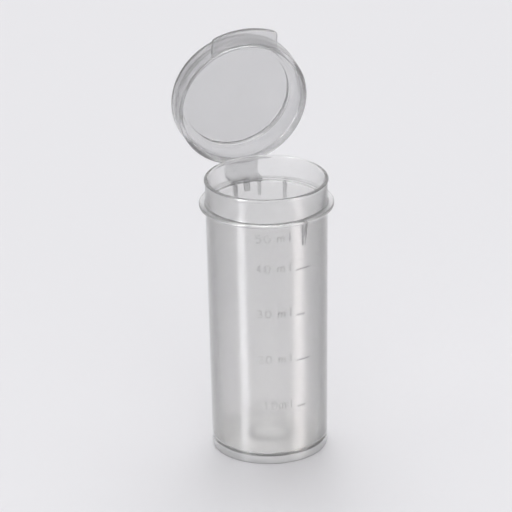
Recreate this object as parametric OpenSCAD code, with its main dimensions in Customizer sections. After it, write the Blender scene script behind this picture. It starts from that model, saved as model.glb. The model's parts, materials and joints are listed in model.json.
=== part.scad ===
// Hinged-lid sample tube, about 50 ml to the collar.
// A flat-bottomed, slightly tapered polypropylene tube with a collar, a sealing neck and
// a snap lid held by a living hinge at the back. Millimetres, +Z up, foot on z = 0,
// hinge at +Y, thumb tab towards -Y when shut. Shown with the lid open.

/* [Tube] */
// Height from the foot to the top of the rim
tube_h = 78.5; // [76:0.5:84]
// Outer radius of the tube wall at the foot
foot_r = 15.9; // [15.6:0.1:16.2]
// Outer radius of the tube wall under the collar
shoulder_r = 16.6; // [16.4:0.1:16.8]
// Thickness of the tube wall
wall_t = 0.95; // [0.8:0.05:1.1]
// Height of the ring the tube stands on
foot_h = 1.2; // [0.8:0.1:1.6]
// Radial width of the ring the tube stands on
foot_w = 2.2; // [1.6:0.1:2.8]
// Thickness of the base plate
base_t = 1.4; // [1.0:0.1:1.8]
// Radius of the raised centre of the base plate
dome_r = 6.2; // [5:0.1:8]
// Rise of the centre of the base plate
dome_rise = 0.7; // [0.4:0.1:1.0]

/* [Neck and collar] */
// Height of the collar's underside above the foot
collar_z = 70.8; // [68:0.2:72]
// Outer radius of the collar
collar_r = 18.35; // [18.2:0.05:18.5]
// Thickness of the collar
collar_t = 0.9; // [0.7:0.05:0.95]
// Outer radius of the sealing neck
neck_r = 16.6; // [16.4:0.05:16.7]
// Wall thickness of the sealing neck
neck_t = 0.75; // [0.65:0.05:0.8]
// Outer radius of the bead round the rim
rim_r = 16.9; // [16.8:0.05:16.95]
// Height of the bead round the rim
rim_h = 0.9; // [0.7:0.1:1.2]

/* [Ribs under the collar] */
// Thickness of the collar ribs
rib_t = 0.8; // [0.6:0.1:1.0]
// Length of the side ribs down the wall
rib_l = 5.2; // [4:0.1:6]
// Length of the front rib down the wall
front_rib_l = 6.3; // [4:0.1:7]
// Angle of the side ribs from the hinge
side_rib_angle = 36.7; // [30:0.1:45]
// Angle of the front rib from the thumb tab
front_rib_angle = 17.7; // [12:0.1:24]
// Length of the ribs beside the hinge
hinge_rib_l = 3.5; // [2.5:0.1:4.5]
// Angle of the ribs beside the hinge
hinge_rib_angle = 12.1; // [9:0.1:15]
// Width of the post under the middle of the hinge
post_w = 1.65; // [1.2:0.05:2.2]
// Length of the post under the middle of the hinge
post_l = 2.4; // [1.5:0.1:3.5]

/* [Volume marks] */
// Height by which marks and numerals stand out of the wall
mark_t = 0.15; // [0.1:0.05:0.2]
// Thickness of each tick line
tick_h = 0.5; // [0.4:0.05:0.6]
// Angle at which the tick lines begin, right of the front
tick_a = 9.3; // [8:0.1:11]
// Angle covered by the long tick lines
tick_long = 15.2; // [12:0.1:18]
// Angle covered by the short tick lines
tick_short = 9.2; // [7:0.1:11]
// Height of the numerals
digit_h = 2.5; // [2:0.1:3]
// Width of each numeral's stroke
stroke = 0.36; // [0.3:0.02:0.44]
// Height of each row of numerals above its tick
digit_up = 1.1; // [0.8:0.1:1.4]
// Height of the top row of numerals, which has no tick
top_label_z = 67.2; // [66.6:0.1:68]

/* [Lid] */
// Angle by which the lid stands open
open_angle = 82; // [60:1:110]
// Outer radius of the lid at its open edge
lid_r = 18.4; // [18.3:0.05:18.5]
// Outer radius of the lid at its shoulder
lid_top_r = 18.6; // [18.6:0.05:18.8]
// Inner radius of the lid's skirt
skirt_in_r = 17.25; // [17.2:0.05:17.3]
// Thickness of the lid's top plate
lid_t = 1.1; // [0.9:0.05:1.3]
// Radius of the lid's rounded shoulder
lid_round = 1.6; // [1.4:0.1:1.8]
// Gap between the lid's top plate and the rim when shut
lid_gap = 0.2; // [0.2:0.05:0.4]
// Radial gap between the plug ring and the neck
plug_gap = 0.1; // [0.1:0.05:0.2]
// Thickness of the plug ring
plug_t = 0.8; // [0.6:0.1:1.0]
// Depth of the plug ring
plug_h = 1.5; // [1.2:0.1:1.5]
// Depth of the snap bead inside the skirt
snap_t = 0.25; // [0.15:0.05:0.3]
// Width of the thumb tab
tab_w = 18.6; // [14:0.2:22]
// Reach of the thumb tab beyond the lid
tab_l = 4.4; // [3:0.1:5]
// Thickness of the thumb tab
tab_t = 1.2; // [0.9:0.1:1.4]
// Radius of the thumb tab's corners
tab_round = 1.5; // [1:0.1:1.8]

/* [Hinge] */
// Distance of the hinge line behind the tube's axis
hinge_y = 21.3; // [21:0.1:22]
// Width of the hinge strap
strap_w = 9.8; // [8:0.1:12]
// Thickness of the hinge strap
strap_t = 0.75; // [0.6:0.05:0.8]
// Radius of the thin roll on which the strap bends
roll_r = 0.5; // [0.45:0.01:0.55]

/* [Hidden] */
$fn = 96;
eps = 0.01;
wall_over = 1;
round_steps = 6;
roll_gap = 0.05;
fold_gap = 0.05;
foot_round = 0.35;
snap_h = 0.8;
snap_z = 0.9;
rib_foot_r = 0.45;
rib_bite = 0.35;
rib_lip = 0.25;
row_a = -27.4;
digit_w = 1.75;
digit_step = 2.35;
m_at = 6.6;
m_w = 2.1;
m_h = 1.75;
l_at = 8.5;
l_rise = 1.15;

floor_z = foot_h + base_t;
collar_top = collar_z + collar_t;
hinge_z = collar_top + 0.15;
lip_z = hinge_z + 0.15;
lid_under_z = tube_h + lid_gap;
lid_top_z = lid_under_z + lid_t;
shoulder_z = lid_top_z - lid_round;
plug_r = neck_r - neck_t - plug_gap;
slope = (shoulder_r - foot_r) / collar_z;
floor_r = wall_r(floor_z) - wall_t;

clear_natural = [0.86, 0.88, 0.88];
milky_natural = [0.80, 0.82, 0.82];

// Outer radius of the tapered wall at height z
function wall_r(z) = foot_r + slope * z;

// Height to which a volume in millilitres fills the tapered tube
function fill_z(ml) =
    floor_z + (pow(pow(floor_r, 3) + 3 * slope * ml * 1000 / PI, 1 / 3) - floor_r) / slope;

// Places a child, drawn for the shut lid, on the open lid
module on_lid() {
    translate([0, hinge_y, hinge_z])
        rotate([-open_angle, 0, 0])
            translate([0, -hinge_y, -hinge_z])
                children();
}

// Ring of rectangular section
module ring(r_in, r_out, z0, z1) {
    rotate_extrude()
        polygon([[r_in, z0], [r_out, z0], [r_out, z1], [r_in, z1]]);
}

module tube_wall() {
    color(milky_natural)
        rotate_extrude()
            polygon([[wall_r(foot_h) - wall_t, foot_h], [wall_r(foot_h), foot_h],
                     [shoulder_r, collar_z], [shoulder_r - wall_t, collar_z]]);
}

module foot_ring() {
    color(milky_natural)
        rotate_extrude()
            polygon(concat(
                [[wall_r(0) - foot_w, 0]],
                [for (i = [0 : round_steps])
                    [wall_r(0) - foot_round + foot_round * sin(90 * i / round_steps),
                     foot_round - foot_round * cos(90 * i / round_steps)]],
                [[wall_r(foot_h), foot_h], [wall_r(0) - foot_w + foot_round, foot_h]]));
}

module base_plate() {
    color(milky_natural)
        rotate_extrude()
            polygon([[dome_r, foot_h], [wall_r(foot_h) - wall_t, foot_h],
                     [floor_r, floor_z], [dome_r, floor_z]]);
}

module gate_dome() {
    color(milky_natural)
        rotate_extrude()
            polygon(concat(
                [for (i = [0 : round_steps])
                    [dome_r * i / round_steps,
                     foot_h + dome_rise * cos(90 * i / round_steps)]],
                [for (i = [round_steps : -1 : 0])
                    [dome_r * i / round_steps,
                     floor_z + dome_rise * cos(90 * i / round_steps)]]));
}

module collar() {
    color(clear_natural)
        ring(shoulder_r - wall_t, collar_r, collar_z, collar_top);
}

module neck() {
    color(clear_natural)
        ring(neck_r - neck_t, neck_r, collar_top, tube_h - rim_h);
}

module rim_bead() {
    bulge = rim_r - neck_r;
    color(clear_natural)
        rotate_extrude()
            polygon(concat(
                [[neck_r - neck_t, tube_h - rim_h]],
                [for (i = [0 : round_steps])
                    [neck_r + bulge * sin(180 * i / round_steps),
                     tube_h - rim_h + rim_h * i / round_steps]],
                [[neck_r - neck_t, tube_h]]));
}

// Solid space inside the outer face of the tube wall
module wall_core() {
    translate([0, 0, -wall_over])
        cylinder(h = collar_z + 2 * wall_over,
                 r1 = wall_r(-wall_over), r2 = wall_r(collar_z + wall_over));
}

// Rib under the collar, at an angle measured from the front towards +X
module rib(angle, length) {
    low = collar_z - length;
    color(clear_natural)
        rotate([0, 0, angle - 90])
            difference() {
                union() {
                    rotate([90, 0, 0])
                        translate([0, 0, -rib_t / 2])
                            linear_extrude(rib_t)
                                polygon([[foot_r, low], [wall_r(low) + rib_bite, low],
                                         [collar_r - rib_lip, collar_z],
                                         [foot_r, collar_z]]);
                    translate([foot_r, 0, low])
                        rotate([0, 90, 0])
                            cylinder(h = wall_r(low) + rib_bite - foot_r, r = rib_foot_r);
                }
                wall_core();
            }
}

module rib_hinge_left() { rib(180 + hinge_rib_angle, hinge_rib_l); }
module rib_hinge_right() { rib(180 - hinge_rib_angle, hinge_rib_l); }
module rib_side_left() { rib(180 + side_rib_angle, rib_l); }
module rib_side_right() { rib(180 - side_rib_angle, rib_l); }
module rib_front() { rib(front_rib_angle, front_rib_l); }

module hinge_post() {
    color(clear_natural)
        difference() {
            translate([-post_w / 2, foot_r - wall_t / 2, collar_z - post_l])
                cube([post_w, collar_r - rib_lip - foot_r + wall_t / 2, post_l]);
            wall_core();
        }
}

// Raised patch of the wall between two angles and two heights
module raised(a0, a1, z0, z1) {
    rotate([0, 0, a0 - 90])
        rotate_extrude(angle = a1 - a0)
            polygon([[wall_r(z0), z0], [wall_r(z0) + mark_t, z0],
                     [wall_r(z1) + mark_t, z1], [wall_r(z1), z1]]);
}

module tick(ml, span) {
    z = fill_z(ml);
    color(milky_natural)
        raised(tick_a, tick_a + span, z - tick_h / 2, z + tick_h / 2);
}

module tick_10() { tick(10, tick_short); }
module tick_20() { tick(20, tick_long); }
module tick_30() { tick(30, tick_short); }
module tick_40() { tick(40, tick_long); }

// Strokes of each numeral: top, upper right, lower right, foot, lower left, upper left, bar
function strokes(d) =
    d == 0 ? [1, 1, 1, 1, 1, 1, 0] :
    d == 1 ? [0, 1, 1, 0, 0, 0, 0] :
    d == 2 ? [1, 1, 0, 1, 1, 0, 1] :
    d == 3 ? [1, 1, 1, 1, 0, 0, 1] :
    d == 4 ? [0, 1, 1, 0, 0, 1, 1] :
             [1, 0, 1, 1, 0, 1, 1];

// Lays a flat outline on the wall as a raised shape, its origin at a distance along the row
module on_wall(along, z) {
    angle = row_a + along / foot_r * 180 / PI;
    difference() {
        intersection() {
            rotate([0, 0, angle - 90])
                translate([foot_r - wall_t / 2, 0, z])
                    rotate([90, 0, 90])
                        linear_extrude(wall_t + shoulder_r - foot_r)
                            children();
            translate([0, 0, -wall_over])
                cylinder(h = collar_z + 2 * wall_over, r1 = wall_r(-wall_over) + mark_t,
                         r2 = wall_r(collar_z + wall_over) + mark_t);
        }
        wall_core();
    }
}

// Flat outline of a numeral, centred on x = 0 with its foot on y = 0
module numeral(d) {
    on = strokes(d);
    right = digit_w / 2 - stroke;
    half = digit_h / 2;
    if (on[0]) translate([-digit_w / 2, digit_h - stroke]) square([digit_w, stroke]);
    if (on[1]) translate([right, half - stroke / 2]) square([stroke, half + stroke / 2]);
    if (on[2]) translate([right, 0]) square([stroke, half + stroke / 2]);
    if (on[3]) translate([-digit_w / 2, 0]) square([digit_w, stroke]);
    if (on[4]) translate([-digit_w / 2, 0]) square([stroke, half + stroke / 2]);
    if (on[5])
        translate([-digit_w / 2, half - stroke / 2]) square([stroke, half + stroke / 2]);
    if (on[6]) translate([-digit_w / 2, half - stroke / 2]) square([digit_w, stroke]);
}

// Flat outline of the letter m
module letter_m() {
    for (i = [-1 : 1])
        translate([i * (m_w - stroke) / 2 - stroke / 2, 0]) square([stroke, m_h]);
    translate([-m_w / 2, m_h - stroke]) square([m_w, stroke]);
}

// A row such as "20 ml" with its foot at height z
module label(tens, z) {
    color(milky_natural) {
        on_wall(0, z) numeral(tens);
        on_wall(digit_step, z) numeral(0);
        on_wall(m_at, z) letter_m();
        on_wall(l_at, z) translate([-stroke / 2, 0]) square([stroke, digit_h * l_rise]);
    }
}

module label_10() { label(1, fill_z(10) + digit_up - digit_h / 2); }
module label_20() { label(2, fill_z(20) + digit_up - digit_h / 2); }
module label_30() { label(3, fill_z(30) + digit_up - digit_h / 2); }
module label_40() { label(4, fill_z(40) + digit_up - digit_h / 2); }
module label_50() { label(5, top_label_z - digit_h / 2); }

// Tongue behind the collar, ending in the thin roll on which the lid turns
module hinge_strap() {
    color(clear_natural) {
        difference() {
            translate([-strap_w / 2, 0, collar_z])
                cube([strap_w, hinge_y - fold_gap, strap_t]);
            translate([0, 0, collar_z - eps])
                cylinder(h = strap_t + 2 * eps, r = collar_r);
        }
        translate([-strap_w / 2, hinge_y, hinge_z])
            rotate([0, 90, 0])
                cylinder(h = strap_w, r = roll_r);
    }
}

module lid_hinge_lug() {
    color(clear_natural)
        on_lid()
            difference() {
                translate([-strap_w / 2, 0, lip_z])
                    cube([strap_w, hinge_y - fold_gap, strap_t]);
                translate([0, 0, lip_z - eps])
                    cylinder(h = strap_t + 2 * eps, r = lid_r + slope_lid * strap_t);
                translate([-strap_w / 2 - eps, hinge_y, hinge_z])
                    rotate([0, 90, 0])
                        cylinder(h = strap_w + 2 * eps, r = roll_r + roll_gap);
            }
}

// Outward slope of the skirt's outer face
slope_lid = (lid_top_r - lid_r) / (shoulder_z - lip_z);

module lid_plate() {
    color(clear_natural)
        on_lid()
            translate([0, 0, lid_under_z])
                cylinder(h = lid_t, r = lid_top_r - lid_round);
}

module lid_shoulder() {
    color(clear_natural)
        on_lid()
            rotate_extrude()
                polygon(concat(
                    [for (i = [0 : round_steps])
                        [lid_top_r - lid_round + lid_round * cos(90 * i / round_steps),
                         shoulder_z + lid_round * sin(90 * i / round_steps)]],
                    [[lid_top_r - lid_round, lid_under_z],
                     [skirt_in_r, lid_under_z - (skirt_in_r - lid_top_r + lid_round)],
                     [skirt_in_r, shoulder_z]]));
}

module lid_skirt() {
    color(clear_natural)
        on_lid()
            rotate_extrude()
                polygon([[skirt_in_r, lip_z], [lid_r, lip_z],
                         [lid_top_r, shoulder_z], [skirt_in_r, shoulder_z]]);
}

module lid_snap_bead() {
    color(clear_natural)
        on_lid()
            rotate_extrude()
                polygon([for (i = [0 : round_steps])
                    [skirt_in_r - snap_t * sin(180 * i / round_steps),
                     lip_z + snap_z + snap_h * i / round_steps]]);
}

module lid_plug_ring() {
    color(clear_natural)
        on_lid()
            ring(plug_r - plug_t, plug_r, lid_under_z - plug_h, lid_under_z);
}

module thumb_tab() {
    reach = lid_r + tab_l;
    corner_x = tab_w / 2 - tab_round;
    corner_y = -sqrt(pow(reach - tab_round, 2) - pow(corner_x, 2));
    color(clear_natural)
        on_lid()
            translate([0, 0, lip_z])
                difference() {
                    intersection() {
                        cylinder(h = tab_t, r = reach);
                        union() {
                            translate([-corner_x, -reach, 0])
                                cube([2 * corner_x, reach, tab_t]);
                            translate([-tab_w / 2, corner_y, 0])
                                cube([tab_w, -corner_y, tab_t]);
                            for (s = [-1, 1])
                                translate([s * corner_x, corner_y, 0])
                                    cylinder(h = tab_t, r = tab_round);
                        }
                    }
                    translate([0, 0, -eps])
                        cylinder(h = tab_t + 2 * eps,
                                 r1 = lid_r - slope_lid * eps,
                                 r2 = lid_r + slope_lid * (tab_t + eps));
                }
}

tube_wall();
foot_ring();
base_plate();
gate_dome();
collar();
neck();
rim_bead();
rib_hinge_left();
rib_hinge_right();
hinge_post();
rib_side_left();
rib_side_right();
rib_front();
tick_10();
tick_20();
tick_30();
tick_40();
label_10();
label_20();
label_30();
label_40();
label_50();
hinge_strap();
lid_hinge_lug();
lid_plate();
lid_shoulder();
lid_skirt();
lid_snap_bead();
lid_plug_ring();
thumb_tab();
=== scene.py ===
"""Looks of the hinged-lid sample tube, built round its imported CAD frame.

Lengths are in metres, and MM turns millimetres into metres. The lid's pieces are drawn for
the shut lid, where it is upright, and then turned to where the frame holds it, standing open.
"""

import json
import math
from collections import namedtuple

import bmesh
import bpy
from mathutils import Matrix, Vector

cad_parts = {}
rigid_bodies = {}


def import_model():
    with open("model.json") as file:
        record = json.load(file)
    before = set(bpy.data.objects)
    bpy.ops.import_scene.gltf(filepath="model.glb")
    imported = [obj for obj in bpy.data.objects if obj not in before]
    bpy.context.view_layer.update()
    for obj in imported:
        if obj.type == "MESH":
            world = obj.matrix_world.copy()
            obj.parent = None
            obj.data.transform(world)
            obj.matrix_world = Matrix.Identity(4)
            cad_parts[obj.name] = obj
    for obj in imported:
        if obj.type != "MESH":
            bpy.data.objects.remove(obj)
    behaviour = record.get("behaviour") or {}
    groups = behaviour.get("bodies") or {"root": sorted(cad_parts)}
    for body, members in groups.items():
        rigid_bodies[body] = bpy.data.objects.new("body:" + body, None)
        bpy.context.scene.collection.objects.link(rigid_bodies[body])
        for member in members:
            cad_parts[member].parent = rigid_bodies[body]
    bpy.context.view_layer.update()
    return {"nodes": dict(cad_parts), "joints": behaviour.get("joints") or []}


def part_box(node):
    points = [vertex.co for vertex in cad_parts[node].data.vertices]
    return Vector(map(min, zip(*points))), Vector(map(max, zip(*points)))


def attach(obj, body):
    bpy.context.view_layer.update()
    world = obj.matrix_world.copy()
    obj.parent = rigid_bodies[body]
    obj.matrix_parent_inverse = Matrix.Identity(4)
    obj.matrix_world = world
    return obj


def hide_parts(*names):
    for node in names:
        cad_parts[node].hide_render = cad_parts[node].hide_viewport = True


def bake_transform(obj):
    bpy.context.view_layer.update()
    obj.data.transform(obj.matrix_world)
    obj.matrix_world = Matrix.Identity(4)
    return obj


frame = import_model()

MM = 0.001
TURN_STEPS = 240            # facets round the axis
ARC_STEP = math.radians(15) # longest turn between two points of a rounded corner
SHARP = math.radians(50)    # edges that turn more than this look sharp
BEAD_STEPS = 8              # steps across a bead
SAME = 0.01 * MM            # two heights nearer than this are the same
BITE = 0.4 * MM             # how far ribs and the tab are rooted in their wall
MARK_ROOT = 0.1 * MM        # how far raised marks are rooted in theirs
END_TAPER = 0.55            # size of a raised mark's ends, as a share of its middle

HINGE = next(j for j in frame["joints"] if j["name"] == "lid_hinge")
PIVOT = Vector(HINGE["pos_m"])
SHUT_TURN = math.radians(HINGE["range_deg"][1])


def about_hinge(turn):
    """The matrix that turns the lid about its hinge."""
    spin = Matrix.Rotation(turn, 4, Vector(HINGE["axis"]))
    return Matrix.Translation(PIVOT) @ spin @ Matrix.Translation(-PIVOT)


SHUT, OPEN = about_hinge(SHUT_TURN), about_hinge(-SHUT_TURN)
UPRIGHT = Matrix.Identity(4)

# ---------------------------------------------------------------- sizes from the frame

Turned = namedtuple("Turned", "low high in_low out_low in_high out_high")
Block = namedtuple("Block", "azimuth low high near far left right")


def corners_of(node, upright=UPRIGHT):
    """A CAD node's vertices, turned upright."""
    return [upright @ v.co for v in frame["nodes"][node].data.vertices]


def turned_sizes(node, upright=UPRIGHT):
    """Heights, and inner and outer radii at both ends, of a CAD node turned round the Z axis."""
    points = corners_of(node, upright)
    low, high = min(p.z for p in points), max(p.z for p in points)

    def radii(z):
        found = [p.xy.length for p in points if abs(p.z - z) < SAME]
        return min(found), max(found)

    return Turned(low, high, *radii(low), *radii(high))


def block_sizes(node, upright=UPRIGHT):
    """Azimuth of a CAD node's middle, its heights, and its reach outwards and to both sides."""
    points = corners_of(node, upright)
    middle = sum((p.xy for p in points), Vector((0, 0))) / len(points)
    azimuth = math.atan2(middle.y, middle.x)
    turned = [Matrix.Rotation(-azimuth, 3, "Z") @ p for p in points]
    heights, reach, side = ([p[i] for p in turned] for i in (2, 0, 1))
    return Block(azimuth, min(heights), max(heights), min(reach), max(reach),
                 min(side), max(side))


WALL, FOOT = turned_sizes("tube_wall"), turned_sizes("foot_ring")
BASE, DOME = turned_sizes("base_plate"), turned_sizes("gate_dome")
COLLAR, NECK, RIM = (turned_sizes(n) for n in ("collar", "neck", "rim_bead"))
LID_PLATE, SKIRT = turned_sizes("lid_plate", SHUT), turned_sizes("lid_skirt", SHUT)
PLUG, SNAP = turned_sizes("lid_plug_ring", SHUT), turned_sizes("lid_snap_bead", SHUT)
TAB = block_sizes("thumb_tab", SHUT)
RIM_BULGE = max(p.xy.length for p in corners_of("rim_bead"))
SNAP_INNER = min(p.xy.length for p in corners_of("lid_snap_bead", SHUT))


def wall_radius(z):
    """Outer radius of the tapered tube wall at a height."""
    share = (z - WALL.low) / (WALL.high - WALL.low)
    return WALL.out_low + share * (WALL.out_high - WALL.out_low)


# ---------------------------------------------------------------- mesh tools


def rounded(corners, closed=False):
    """Points of an outline given as (x, y, corner radius): each corner becomes an arc."""
    points = []
    for i, (x, y, radius) in enumerate(corners):
        here = Vector((x, y))
        if radius == 0 or (not closed and i in (0, len(corners) - 1)):
            points.append(here)
            continue
        back = (Vector(corners[i - 1][:2]) - here).normalized()
        ahead = (Vector(corners[(i + 1) % len(corners)][:2]) - here).normalized()
        half = back.angle(ahead) / 2
        centre = here + (back + ahead).normalized() * radius / math.sin(half)
        start = here + back * radius / math.tan(half) - centre
        end = here + ahead * radius / math.tan(half) - centre
        turn = -start.angle_signed(end)
        steps = max(2, math.ceil(abs(turn) / ARC_STEP))
        for k in range(steps + 1):
            points.append(centre + Matrix.Rotation(turn * k / steps, 2) @ start)
    return points


def arc(centre, radius, start, end, steps):
    """Points of an arc between two angles, in order."""
    angles = (start + (end - start) * k / steps for k in range(steps + 1))
    return [Vector(centre) + radius * Vector((math.cos(a), math.sin(a))) for a in angles]


def plain(points):
    """Outline corners with no rounding."""
    return [(p[0], p[1], 0) for p in points]


def finished(name, bm):
    """An object made from a bmesh, with its faces turned outwards and smooth shading."""
    bmesh.ops.recalc_face_normals(bm, faces=bm.faces)
    mesh = bpy.data.meshes.new(name)
    bm.to_mesh(mesh)
    bm.free()
    mesh.shade_smooth()
    mesh.set_sharp_from_angle(angle=SHARP)
    made = bpy.data.objects.new(name, mesh)
    bpy.context.scene.collection.objects.link(made)
    return made


def bridge(bm, first, second):
    """Faces between two rings of vertices; a ring of one vertex is a pole."""
    count = max(len(first), len(second))
    for i in range(count):
        j = (i + 1) % count
        loop = [first[i % len(first)], first[j % len(first)],
                second[j % len(second)], second[i % len(second)]]
        bm.faces.new(list(dict.fromkeys(loop)))


def lathe(name, outline):
    """A solid turned round the Z axis. An outline of (radius, height) from axis to axis
    makes a solid with two poles."""
    bm = bmesh.new()
    rows = []
    for radius, z in outline:
        if radius < SAME:
            rows.append([bm.verts.new((0, 0, z))])
            continue
        angles = (math.tau * k / TURN_STEPS for k in range(TURN_STEPS))
        rows.append([bm.verts.new((radius * math.cos(a), radius * math.sin(a), z))
                     for a in angles])
    for first, second in zip(rows, rows[1:]):
        bridge(bm, first, second)
    return finished(name, bm)


def add_swept(bm, stations):
    """Adds a solid through rings of points, closed at both ends."""
    rows = [[bm.verts.new(p) for p in station] for station in stations]
    for first, second in zip(rows, rows[1:]):
        bridge(bm, first, second)
    bm.faces.new(rows[0])
    bm.faces.new(rows[-1])


def swept(name, stations):
    """A solid through rings of points."""
    bm = bmesh.new()
    add_swept(bm, stations)
    return finished(name, bm)


def soften(piece, width):
    """Rounds a piece's edges."""
    bevel = piece.modifiers.new("edges", "BEVEL")
    bevel.width = width
    bevel.segments = 3
    bevel.limit_method = "ANGLE"
    bevel.harden_normals = False


def placed(piece, body, slot, material, *nodes):
    """Gives a piece its material, its body and the CAD nodes that it stands for."""
    piece.data.materials.append(material)
    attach(piece, body)
    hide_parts(*nodes)


# ---------------------------------------------------------------- materials

IOR = 1.49              # of polypropylene
SCATTER_REACH = 3 * MM  # how far light spreads inside the plastic
SKIN_ROUGH = 0.17       # roughness of a polished outer skin
PAINTED_GLOW_FROM = 52 * MM     # height from which a painted glow makes the milky plastic paler towards the foot

# Turns a metre of the drift in tint, of the dull patches and of the waviness.
CLOUDS, BLOOM, FLOW = 90, 420, 260


class Nodes:
    """Short calls for building a node tree."""

    def __init__(self, tree):
        self.tree = tree

    def add(self, kind, **settings):
        node = self.tree.nodes.new(kind)
        for key, value in settings.items():
            setattr(node, key, value)
        return node

    def join(self, source, target):
        self.tree.links.new(source, target)

    def noise(self, coordinates, scale, detail=2.0, stretch=(1, 1, 1)):
        """A noise pattern's factor, in object coordinates; scale is in turns a metre."""
        mapping = self.add("ShaderNodeMapping")
        mapping.inputs["Scale"].default_value = stretch
        self.join(coordinates, mapping.inputs["Vector"])
        node = self.add("ShaderNodeTexNoise")
        node.inputs["Scale"].default_value = scale
        node.inputs["Detail"].default_value = detail
        self.join(mapping.outputs["Vector"], node.inputs["Vector"])
        return node.outputs["Fac"]

    def spread(self, source, low, high):
        """A factor's middle half spread over low to high."""
        node = self.add("ShaderNodeMapRange")
        self.join(source, node.inputs["Value"])
        for key, value in (("From Min", 0.3), ("From Max", 0.7),
                           ("To Min", low), ("To Max", high)):
            node.inputs[key].default_value = value
        return node.outputs["Result"]

    def towards_foot(self, coordinates, colour, other):
        """A colour that turns into another one from PAINTED_GLOW_FROM down to the foot."""
        split = self.add("ShaderNodeSeparateXYZ")
        self.join(coordinates, split.inputs["Vector"])
        ramp = self.add("ShaderNodeMapRange", interpolation_type="SMOOTHSTEP")
        self.join(split.outputs["Z"], ramp.inputs["Value"])
        for key, value in (("From Min", PAINTED_GLOW_FROM), ("From Max", 0.0),
                           ("To Min", 0.0), ("To Max", 1.0)):
            ramp.inputs[key].default_value = value
        blend = self.add("ShaderNodeMix", data_type="RGBA")
        self.join(ramp.outputs["Result"], blend.inputs["Factor"])
        self.join(colour, blend.inputs["A"])
        blend.inputs["B"].default_value = (*other, 1)
        return blend


def polypropylene(name, pale, deep, clear, rough, waviness, skin=0.0, painted_foot_glow=None):
    """Natural polypropylene. Its tint drifts between two colours, its surface is a little
    duller in places, and it is slightly wavy, drawn out along the axis as moulding leaves it.
    skin is how much of a polished outer skin it has. The last argument is a paler colour that
    grows towards the foot: painted light, standing in for the glow of light spread up
    through the base."""
    material = bpy.data.materials.new(name)
    material.use_nodes = True
    nodes = Nodes(material.node_tree)
    shader = nodes.tree.nodes["Principled BSDF"]
    where = nodes.add("ShaderNodeTexCoord").outputs["Object"]

    tint = nodes.add("ShaderNodeMix", data_type="RGBA")
    tint.inputs["A"].default_value = (*pale, 1)
    tint.inputs["B"].default_value = (*deep, 1)
    cloud = nodes.noise(where, CLOUDS, stretch=(1, 1, 0.4))
    nodes.join(nodes.spread(cloud, 0, 1), tint.inputs["Factor"])
    # Painted light: the colour grows paler towards the foot, as if lit by light spread up
    # through the base.
    if painted_foot_glow:
        tint = nodes.towards_foot(where, tint.outputs["Result"], painted_foot_glow)
    nodes.join(tint.outputs["Result"], shader.inputs["Base Color"])

    bloom = nodes.noise(where, BLOOM, detail=3, stretch=(1, 1, 0.25))
    nodes.join(nodes.spread(bloom, *rough), shader.inputs["Roughness"])

    flow = nodes.noise(where, FLOW, stretch=(1, 1, 0.12))
    bump = nodes.add("ShaderNodeBump")
    bump.inputs["Strength"].default_value = 1
    bump.inputs["Distance"].default_value = waviness
    nodes.join(flow, bump.inputs["Height"])
    nodes.join(bump.outputs["Normal"], shader.inputs["Normal"])

    shader.inputs["Transmission Weight"].default_value = clear
    shader.inputs["Subsurface Weight"].default_value = 1
    shader.inputs["Subsurface Radius"].default_value = (1, 1, 1)
    shader.inputs["Subsurface Scale"].default_value = SCATTER_REACH
    shader.inputs["IOR"].default_value = IOR
    shader.inputs["Coat Weight"].default_value = skin
    shader.inputs["Coat Roughness"].default_value = SKIN_ROUGH
    return material


# The milky plastic's paler colour near the foot is painted glow, not a change in the plastic.
MILKY = polypropylene("milky_polypropylene", (0.883, 0.881, 0.878), (0.863, 0.861, 0.86),
                      clear=0.90, rough=(0.20, 0.255), waviness=0.001 * MM, skin=1.0,
                      painted_foot_glow=(0.955, 0.951, 0.947))
THICK = polypropylene("thick_polypropylene", (0.97, 0.967, 0.965), (0.955, 0.952, 0.95),
                      clear=0.16, rough=(0.20, 0.25), waviness=0.001 * MM, skin=1.0)
CLEAR = polypropylene("clear_polypropylene", (0.93, 0.93, 0.93), (0.91, 0.91, 0.912),
                      clear=0.93, rough=(0.14, 0.19), waviness=0.0015 * MM)
# A greyer plastic for the lid, tab, strap, ticks and most ribs; on the dome's outer band in the
# base it is painted shade.
FROSTED_AND_DOME_SHADE = polypropylene("frosted_polypropylene_and_dome_shade", (0.78, 0.78, 0.785), (0.76, 0.76, 0.768),
                        clear=0.90, rough=(0.14, 0.19), waviness=0.0015 * MM)

# ---------------------------------------------------------------- tube


def dome_points(bottom, reach, rise, steps=10):
    """A dome's (radius, height) points from its middle out, as in the CAD."""
    return [(reach * k / steps, bottom + rise * math.cos(math.pi / 2 * k / steps))
            for k in range(steps)]


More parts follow.
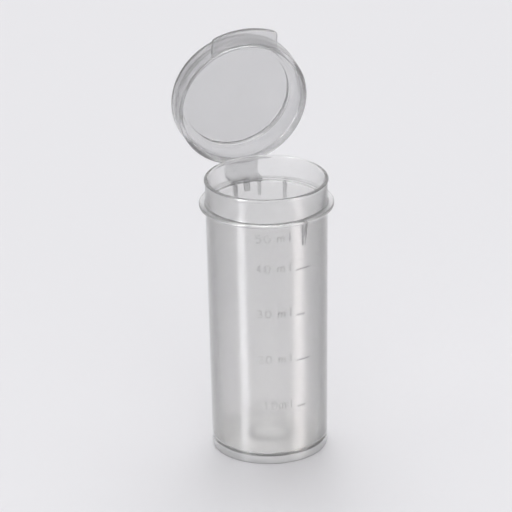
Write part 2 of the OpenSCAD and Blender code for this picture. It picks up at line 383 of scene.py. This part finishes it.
def tube_shell():
    """Base, wall, collar, neck and rim bead as the one moulding they are: an outline from
    the middle of the underside, up the outside, over the rim and down to the floor."""
    wall_t = WALL.out_high - WALL.in_high
    reach = DOME.out_low
    rise = min(p.z for p in corners_of("gate_dome") if p.xy.length < SAME) - BASE.low
    foot_in = FOOT.in_low
    edge = 0.3 * MM
    wall_rows = 30
    up = [wall_radius(WALL.high * k / wall_rows) for k in range(1, wall_rows)]

    under = plain(dome_points(BASE.low, reach, rise))
    under += [(reach, BASE.low, 0), (foot_in + 0.35 * MM, BASE.low, 0.2 * MM),
              (foot_in, FOOT.low, 0.15 * MM), (wall_radius(0), FOOT.low, 0.35 * MM)]
    outside = [(r, WALL.high * k / wall_rows, 0) for k, r in enumerate(up, 1)]
    outside += [(WALL.out_high, COLLAR.low, 0.3 * MM), (COLLAR.out_low, COLLAR.low, edge),
                (COLLAR.out_high, COLLAR.high, edge), (NECK.out_low, COLLAR.high, 0.3 * MM),
                (NECK.out_high, RIM.low - 0.1 * MM, 0.05 * MM)]
    bead = [(NECK.out_high + (RIM_BULGE - NECK.out_high) * math.sin(math.pi * k / BEAD_STEPS),
             RIM.low + (RIM.high - RIM.low) * k / BEAD_STEPS, 0)
            for k in range(1, BEAD_STEPS - 1)]
    top = [(NECK.out_high + 0.02 * MM, RIM.high, 0.15 * MM), (NECK.in_high, RIM.high, 0.2 * MM)]
    inside = [(NECK.in_low, COLLAR.high, 0.1 * MM), (WALL.in_high, COLLAR.low, 0.1 * MM)]
    inside += [(r - wall_t, WALL.high * k / wall_rows, 0)
               for k, r in reversed(list(enumerate(up, 1))) if k > 2]
    inside += [(BASE.out_high, BASE.high, 0.7 * MM), (reach, BASE.high, 0)]
    floor = plain(reversed(dome_points(BASE.high, reach, rise)))
    outline = rounded(under + outside + bead + top + inside + floor)
    return lathe("tube_shell", outline)


def rib(node):
    """A blade under the collar, rooted in the wall and rounded at its low end."""
    size = block_sizes(node)
    half = (size.right - size.left) / 2
    root = wall_radius(size.low) - BITE
    foot = wall_radius(size.low) + 0.3 * MM
    side = rounded([(root, size.low, 0), (foot, size.low, 0.3 * MM),
                    (size.far, COLLAR.low - 0.3 * MM, 0.2 * MM),
                    (size.far, COLLAR.low + BITE, 0), (root, COLLAR.low + BITE, 0)],
                   closed=True)
    blade = swept(node + "_blade", [[(x, y, z) for x, z in side] for y in (-half, half)])
    blade.data.transform(Matrix.Rotation(size.azimuth, 4, "Z"))
    soften(blade, 0.22 * MM)
    return blade


def tick(node):
    """A raised line on the wall, with a half-round section and rounded ends."""
    points = corners_of(node)
    angles = [math.atan2(p.y, p.x) for p in points]
    low, high = min(p.z for p in points), max(p.z for p in points)
    stand = max(p.xy.length - wall_radius(p.z) for p in points)
    length = (max(angles) - min(angles)) * WALL.out_low
    start = min(angles) * WALL.out_low
    steps = 24
    path = [Vector((start + length * k / steps, (low + high) / 2)) for k in range(steps + 1)]
    bm = bmesh.new()
    raised_stroke(bm, path, (high - low) / 2, stand)
    return finished(node + "_line", bm)


def on_wall(along, z, height):
    """The point at a distance along the wall, measured at its foot radius from +X."""
    angle = along / WALL.out_low
    radius = wall_radius(z) + height
    return (radius * math.cos(angle), radius * math.sin(angle), z)


def raised_stroke(bm, path, half, stand, section=10):
    """Adds a raised line along a path of (along, z) on the wall."""
    stations = []
    for i, here in enumerate(path):
        ahead = (path[min(i + 1, len(path) - 1)] - path[max(i - 1, 0)]).normalized()
        across = Vector((-ahead.y, ahead.x))
        end = END_TAPER if i in (0, len(path) - 1) else 1
        ring = []
        for k in range(section):
            angle = math.tau * k / section
            lift = math.sin(angle)
            at = here + across * half * end * math.cos(angle)
            ring.append(on_wall(at.x, at.y, lift * (stand * end if lift > 0 else MARK_ROOT)))
        stations.append(ring)
    add_swept(bm, stations)


def bow(centre, across, high, start, end, steps=14):
    """Points of an ellipse's arc, between two angles in degrees."""
    angles = (math.radians(start + (end - start) * k / steps) for k in range(steps + 1))
    return [(centre[0] + across * math.cos(a), centre[1] + high * math.sin(a))
            for a in angles]


def glyph(letter):
    """Strokes of a character in a cell 1 wide and 1 high, centred on x = 0."""
    if letter == "0":
        return [bow((0, 0.5), 0.5, 0.5, 90, 450, 28)]
    if letter == "1":
        return [[(-0.3, 0.78), (0.1, 1), (0.1, 0)]]
    if letter == "2":
        return [bow((0, 0.7), 0.5, 0.3, 165, -35) + [(-0.5, 0), (0.5, 0)]]
    if letter == "3":
        return [bow((0, 0.75), 0.42, 0.25, 150, -90) + bow((0, 0.25), 0.5, 0.25, 90, -150)]
    if letter == "4":
        return [[(0.2, 0), (0.2, 1), (-0.5, 0.3), (0.5, 0.3)]]
    if letter == "5":
        return [[(0.42, 1), (-0.35, 1), (-0.4, 0.55)]
                + bow((0, 0.32), 0.5, 0.32, 125, -145)]
    if letter == "m":
        return [[(-0.5, 0), (-0.5, 0.7)], bow((-0.25, 0.45), 0.25, 0.25, 180, 0) + [(0, 0)],
                bow((0.25, 0.45), 0.25, 0.25, 180, 0) + [(0.5, 0)]]
    return [[(0, 0), (0, 1)]]


def fine(points, step):
    """A polyline with points added so that none are further apart than step."""
    path = []
    for a, b in zip(points, points[1:]):
        count = max(1, math.ceil((b - a).length / step))
        path += [a + (b - a) * k / count for k in range(count)]
    return path + [points[-1]]


def label(node):
    """A row such as "20 ml" in rounded raised strokes, in the box of its CAD node."""
    points = corners_of(node)
    along = [math.atan2(p.y, p.x) * WALL.out_low for p in points]
    start, end = min(along), max(along)
    foot, head = min(p.z for p in points), max(p.z for p in points)
    stand = max(p.xy.length - wall_radius(p.z) for p in points)
    half, digit_gap = 0.19 * MM, 0.6 * MM
    digit_w, digit_h = 1.75 * MM, 2.5 * MM
    m_wide, m_from_end = 2.1 * MM, 2.9 * MM
    cells = [(node[-2], start + digit_w / 2, digit_w, digit_h),
             ("0", start + digit_w * 1.5 + digit_gap, digit_w, digit_h),
             ("m", end - m_from_end + half, m_wide, digit_h),
             ("l", end - half, 0, head - foot)]
    bm = bmesh.new()
    for letter, middle, wide, high in cells:
        for stroke in glyph(letter):
            ends = [Vector((middle + x * (wide - 2 * half), foot + half + z * (high - 2 * half)))
                    for x, z in stroke]
            raised_stroke(bm, fine(ends, 0.2 * MM), half, stand)
    return finished(node + "_digits", bm)


def plastic_at(point):
    """The plastic of the shell at a point: clear above the wall and thick in the base. A
    darker one on the dome's steep outer band is painted shade, the dome's shadowed edge as it
    shows through the wall."""
    if point.z > COLLAR.low - 0.2 * MM:
        return CLEAR
    if point.z >= DOME.high:
        return MILKY
    # Painted shade: the darker plastic here draws the dome's shadowed edge seen through the
    # wall.
    painted_dome_shade = 0.80 * DOME.out_low < point.xy.length < 0.98 * DOME.out_low
    return FROSTED_AND_DOME_SHADE if painted_dome_shade else THICK


def build_tube():
    """Every piece that stays with the tube."""
    shell = tube_shell()
    placed(shell, "tube", "milky_plastic", MILKY, "tube_wall", "foot_ring", "base_plate",
           "gate_dome", "collar", "neck", "rim_bead")
    for plastic in (CLEAR, THICK, FROSTED_AND_DOME_SHADE):
        shell.data.materials.append(plastic)
    for face in shell.data.polygons:
        face.material_index = shell.data.materials.find(plastic_at(face.center).name)
    for node in sorted(frame["nodes"]):
        if node.startswith("rib_") or node == "hinge_post":
            plastic = CLEAR if node == "rib_front" else FROSTED_AND_DOME_SHADE
            placed(rib(node), "tube", "clear_plastic", plastic, node)
        elif node.startswith("tick_"):
            placed(tick(node), "tube", "milky_plastic", FROSTED_AND_DOME_SHADE, node)
        elif node.startswith("label_"):
            placed(label(node), "tube", "milky_plastic", MILKY, node)


# ---------------------------------------------------------------- lid


def lid_shell():
    """Plate, shoulder, skirt, snap bead and plug ring, drawn shut."""
    top, under = LID_PLATE.high, LID_PLATE.low
    edge = 0.2 * MM
    snap_rise = SNAP.high - SNAP.low
    snap = [(SKIRT.in_low - (SKIRT.in_low - SNAP_INNER) * math.sin(math.pi * k / BEAD_STEPS),
             SNAP.low + snap_rise * k / BEAD_STEPS, 0) for k in range(BEAD_STEPS + 1)]
    round_r = SKIRT.out_high - LID_PLATE.out_high
    outline = [(0, top, 0), (LID_PLATE.out_high / 2, top, 0),
               (SKIRT.out_high, top, round_r), (SKIRT.out_low, SKIRT.low, edge),
               (SKIRT.in_low, SKIRT.low, edge)]
    outline += snap
    outline += [(SKIRT.in_low, under, 0.25 * MM), (PLUG.out_high, under, edge),
                (PLUG.out_low, PLUG.low, edge), (PLUG.in_low, PLUG.low, edge),
                (PLUG.in_high, under, 0.3 * MM), (LID_PLATE.out_high / 2, under, 0),
                (0, under, 0)]
    return lathe("lid_shell", rounded(outline))


def thumb_tab():
    """A thin tab with an outer edge concentric with the lid and rounded corners, drawn shut."""
    reach, half = TAB.far, (TAB.right - TAB.left) / 2
    corner = 1.5 * MM
    side = half - corner
    out = math.sqrt((reach - corner) ** 2 - side ** 2)
    lean = math.atan2(side, out)
    root = SKIRT.out_low - BITE
    spread = math.asin(half / root)
    outline = arc((0, 0), root, spread, -spread, 12)
    outline += arc((out, -side), corner, -math.pi / 2, -lean, 6)
    outline += arc((0, 0), reach, -lean, lean, 24)[1:-1]
    outline += arc((out, side), corner, lean, math.pi / 2, 6)
    tab = swept("thumb_tab_plate", [[(x, y, z) for x, y in outline]
                                    for z in (TAB.low, TAB.high)])
    tab.data.transform(Matrix.Rotation(TAB.azimuth, 4, "Z"))
    soften(tab, 0.3 * MM)
    return tab


def hinge_strap():
    """The flexible strap: a tongue from the collar, a thin web round the hinge line, and the
    lug that runs to the lid's lip. It bends between tube and lid."""
    low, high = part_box("hinge_strap")
    lug = corners_of("lid_hinge_lug", SHUT)
    thick = COLLAR.high - COLLAR.low - 0.15 * MM
    half = (high.x - low.x) / 2
    below = PIVOT.z - (COLLAR.low + thick / 2)
    above = (min(p.z for p in lug) + max(p.z for p in lug)) / 2 - PIVOT.z
    root = COLLAR.out_low - 0.9 * MM
    run = PIVOT.y - root
    web = 0.36 * MM
    straight, bend = 10, 16     # steps along each straight run and round the bend
    side = 6                    # steps along half a flat side and round an end of the section
    last = math.pi / 2 - SHUT_TURN
    centreline = [(Vector((root + run * k / straight, PIVOT.z - below)), 0.0)
                  for k in range(straight)]
    for k in range(bend + 1):
        turn = -math.pi / 2 + (last + math.pi / 2) * k / bend
        reach = below + (above - below) * k / bend
        at = Vector((PIVOT.y, PIVOT.z)) + reach * Vector((math.cos(turn), math.sin(turn)))
        centreline.append((at, turn + math.pi / 2))
    at, course = centreline[-1]
    ahead = Vector((math.cos(course), math.sin(course)))
    centreline += [(at + ahead * run * k / straight, course) for k in range(1, straight + 1)]

    middle, web_length = straight + bend // 2, 5    # in stations
    stations = []
    for i, (at, course) in enumerate(centreline):
        out = Vector((-math.sin(course), math.cos(course)))
        thin = math.exp(-((i - middle) / web_length) ** 2)
        depth = (thick - (thick - web) * thin) / 2
        flat = half - depth
        ring = [(flat * k / side, depth) for k in range(side, -side - 1, -1)]
        ring += [(-flat + depth * math.cos(a), depth * math.sin(a))
                 for a in (math.pi / 2 + math.pi * k / side for k in range(1, side))]
        ring += [(flat * k / side, -depth) for k in range(-side, side + 1)]
        ring += [(flat + depth * math.cos(a), depth * math.sin(a))
                 for a in (-math.pi / 2 + math.pi * k / side for k in range(1, side))]
        stations.append([(x, at.x + out.x * d, at.y + out.y * d) for x, d in ring])
    strap = swept("hinge_strap_web", stations)
    strap.data.materials.append(FROSTED_AND_DOME_SHADE)
    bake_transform(strap)
    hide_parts("hinge_strap", "lid_hinge_lug")


def build_lid():
    """Every piece that moves with the lid, turned to where the frame holds it open."""
    shell, tab = lid_shell(), thumb_tab()
    for piece in (shell, tab):
        piece.data.transform(OPEN)
    placed(shell, "lid", "clear_plastic", FROSTED_AND_DOME_SHADE, "lid_plate", "lid_shoulder", "lid_skirt",
           "lid_snap_bead", "lid_plug_ring")
    placed(tab, "lid", "clear_plastic", FROSTED_AND_DOME_SHADE, "thumb_tab")


# ---------------------------------------------------------------- studio

CAMERA_AZIMUTH, CAMERA_ELEVATION = math.radians(-18.8), math.radians(23.9)
FLOOR_COLOUR = (0.775, 0.77, 0.79, 1)
ALL_ROUND = (0.12, 0.12, 0.125)     # light from every side
BACKDROP = (0.80, 0.80, 0.82, 1)    # what the camera sees beyond the floor
BOUNCES = 24                        # enough to pass through every wall


def heading(azimuth, elevation=0.0):
    """A direction; azimuth 0 is towards -Y and grows towards +X."""
    flat = math.cos(elevation)
    return Vector((math.sin(azimuth) * flat, -math.cos(azimuth) * flat, math.sin(elevation)))


def make_camera():
    """The photograph's viewpoint: a long lens from a metre away, rolled by about a degree."""
    distance, roll = 1.040, math.radians(-0.93)
    target = Vector((0, 0, 40 * MM))
    aim_up, aim_side = 14.2 * MM, -3.1 * MM
    data = bpy.data.cameras.new("camera")
    data.sensor_width, data.lens = 36, 266.5
    data.clip_start, data.clip_end = 0.05, 50
    camera = bpy.data.objects.new("camera", data)
    bpy.context.scene.collection.objects.link(camera)
    back = heading(CAMERA_AZIMUTH, CAMERA_ELEVATION)
    place = target + back * distance
    level = heading(CAMERA_AZIMUTH + math.pi / 2)
    aim = level * aim_side
    rise = back.cross(level)
    aim += target + rise * aim_up
    back = (place - aim).normalized()
    right = Vector((0, 0, 1)).cross(back).normalized()
    up = back.cross(right)
    tilted = right * math.cos(roll) + up * math.sin(roll)
    axes = Matrix((tilted, back.cross(tilted), back)).transposed().to_4x4()
    camera.matrix_world = Matrix.Translation(place) @ axes
    bpy.context.scene.camera = camera


def floor_sheet(name, height, metallic, rough):
    """A plain pale sheet at a height."""
    reach = 6.0
    bm = bmesh.new()
    bmesh.ops.create_grid(bm, x_segments=1, y_segments=1, size=reach)
    sheet = finished(name, bm)
    sheet.location.z = height
    material = bpy.data.materials.new(name)
    material.use_nodes = True
    shader = material.node_tree.nodes["Principled BSDF"]
    shader.inputs["Base Color"].default_value = FLOOR_COLOUR
    shader.inputs["Metallic"].default_value = metallic
    shader.inputs["Roughness"].default_value = rough
    sheet.data.materials.append(material)
    return sheet


def make_floor():
    """The floor itself, and just under it a satin metal one that only shows in the plastic's
    reflections, where it mirrors the studio as a polished table does."""
    seen = floor_sheet("floor", 0, 0.5, 0.6)
    seen.visible_glossy = False
    mirrored = floor_sheet("floor_mirrored", -0.05 * MM, 0.9, 0.38)
    mirrored.visible_camera = mirrored.visible_diffuse = mirrored.visible_transmission = False
    return seen


def strip_light(name, azimuth, width, strength, receivers, tint=(1, 1, 1)):
    """A tall soft strip light at an azimuth from the camera, in degrees, which shows only in
    reflections."""
    distance, tall, off_floor = 0.6, 0.7, 0.02
    data = bpy.data.lights.new(name, "AREA")
    data.shape, data.size, data.size_y = "RECTANGLE", width, tall
    data.energy, data.color = strength * width * tall * math.pi, tint
    light = bpy.data.objects.new(name, data)
    bpy.context.scene.collection.objects.link(light)
    away = heading(CAMERA_AZIMUTH + math.radians(azimuth))
    light.location = away * distance + Vector((0, 0, tall / 2 + off_floor))
    light.rotation_mode = "QUATERNION"
    light.rotation_quaternion = away.to_track_quat("Z", "Y")
    light.visible_camera = light.visible_diffuse = light.visible_transmission = False
    light.light_linking.receiver_collection = receivers


def make_strips(seen_floor):
    """A strip light on either side of the camera. They light all but the floor that is seen."""
    lit = bpy.data.collections.new("lit_by_strips")
    for thing in bpy.context.scene.objects:
        if thing.type == "MESH" and thing is not seen_floor:
            lit.objects.link(thing)
    strip_light("strip_left", -49, 0.15, 34, lit)
    strip_light("strip_right", 61, 0.25, 8, lit, (1, 0.94, 0.90))


def make_studio():
    """Soft studio light from all round: a bright backdrop and ceiling, a weaker fill from the
    front and greyer sides. The camera sees a plain backdrop instead."""
    world = bpy.data.worlds.new("studio")
    world.use_nodes = True
    bpy.context.scene.world = world
    nodes = Nodes(world.node_tree)
    background = world.node_tree.nodes["Background"]
    where = nodes.add("ShaderNodeTexCoord").outputs["Generated"]
    level = nodes.add("ShaderNodeVectorMath", operation="MULTIPLY")
    level.inputs[1].default_value = (1, 1, 0)
    nodes.join(where, level.inputs[0])
    unit = nodes.add("ShaderNodeVectorMath", operation="NORMALIZE")
    nodes.join(level.outputs["Vector"], unit.inputs[0])

    def panel(azimuth, full, none, strength):
        """Light round an azimuth from the camera, fading between two angles from it."""
        dot = nodes.add("ShaderNodeVectorMath", operation="DOT_PRODUCT")
        dot.inputs[1].default_value = heading(CAMERA_AZIMUTH + math.radians(azimuth))
        nodes.join(unit.outputs["Vector"], dot.inputs[0])
        return fade(dot.outputs["Value"], math.cos(math.radians(none)),
                    math.cos(math.radians(full)), strength)

    def fade(source, low, high, strength):
        """White light that grows from none to its full strength between two values."""
        ramp = nodes.add("ShaderNodeMapRange", interpolation_type="SMOOTHSTEP")
        nodes.join(source, ramp.inputs["Value"])
        ramp.inputs["From Min"].default_value = low
        ramp.inputs["From Max"].default_value = high
        ramp.inputs["To Max"].default_value = strength
        scaled = nodes.add("ShaderNodeVectorMath", operation="SCALE")
        scaled.inputs[0].default_value = (1, 1, 1)
        nodes.join(ramp.outputs["Result"], scaled.inputs["Scale"])
        return scaled.outputs["Vector"]

    split = nodes.add("ShaderNodeSeparateXYZ")
    nodes.join(where, split.inputs["Vector"])
    parts = [panel(180, 25, 60, 0.80),
             panel(0, 15, 50, 0.60),
             fade(split.outputs["Z"], 0.65, 0.9, 1.45)]
    total = nodes.add("ShaderNodeVectorMath", operation="ADD")
    total.inputs[1].default_value = ALL_ROUND
    nodes.join(parts[0], total.inputs[0])
    for part in parts[1:]:
        step = nodes.add("ShaderNodeVectorMath", operation="ADD")
        nodes.join(total.outputs["Vector"], step.inputs[0])
        nodes.join(part, step.inputs[1])
        total = step
    seen = nodes.add("ShaderNodeMix", data_type="RGBA")
    nodes.join(nodes.add("ShaderNodeLightPath").outputs["Is Camera Ray"], seen.inputs["Factor"])
    nodes.join(total.outputs["Vector"], seen.inputs["A"])
    seen.inputs["B"].default_value = BACKDROP
    nodes.join(seen.outputs["Result"], background.inputs["Color"])
    bpy.context.scene.view_settings.view_transform = "Standard"
    bpy.context.scene.cycles.transmission_bounces = BOUNCES
    bpy.context.scene.cycles.max_bounces = BOUNCES


build_tube()
build_lid()
hinge_strap()
make_camera()
seen_floor = make_floor()
make_studio()
make_strips(seen_floor)
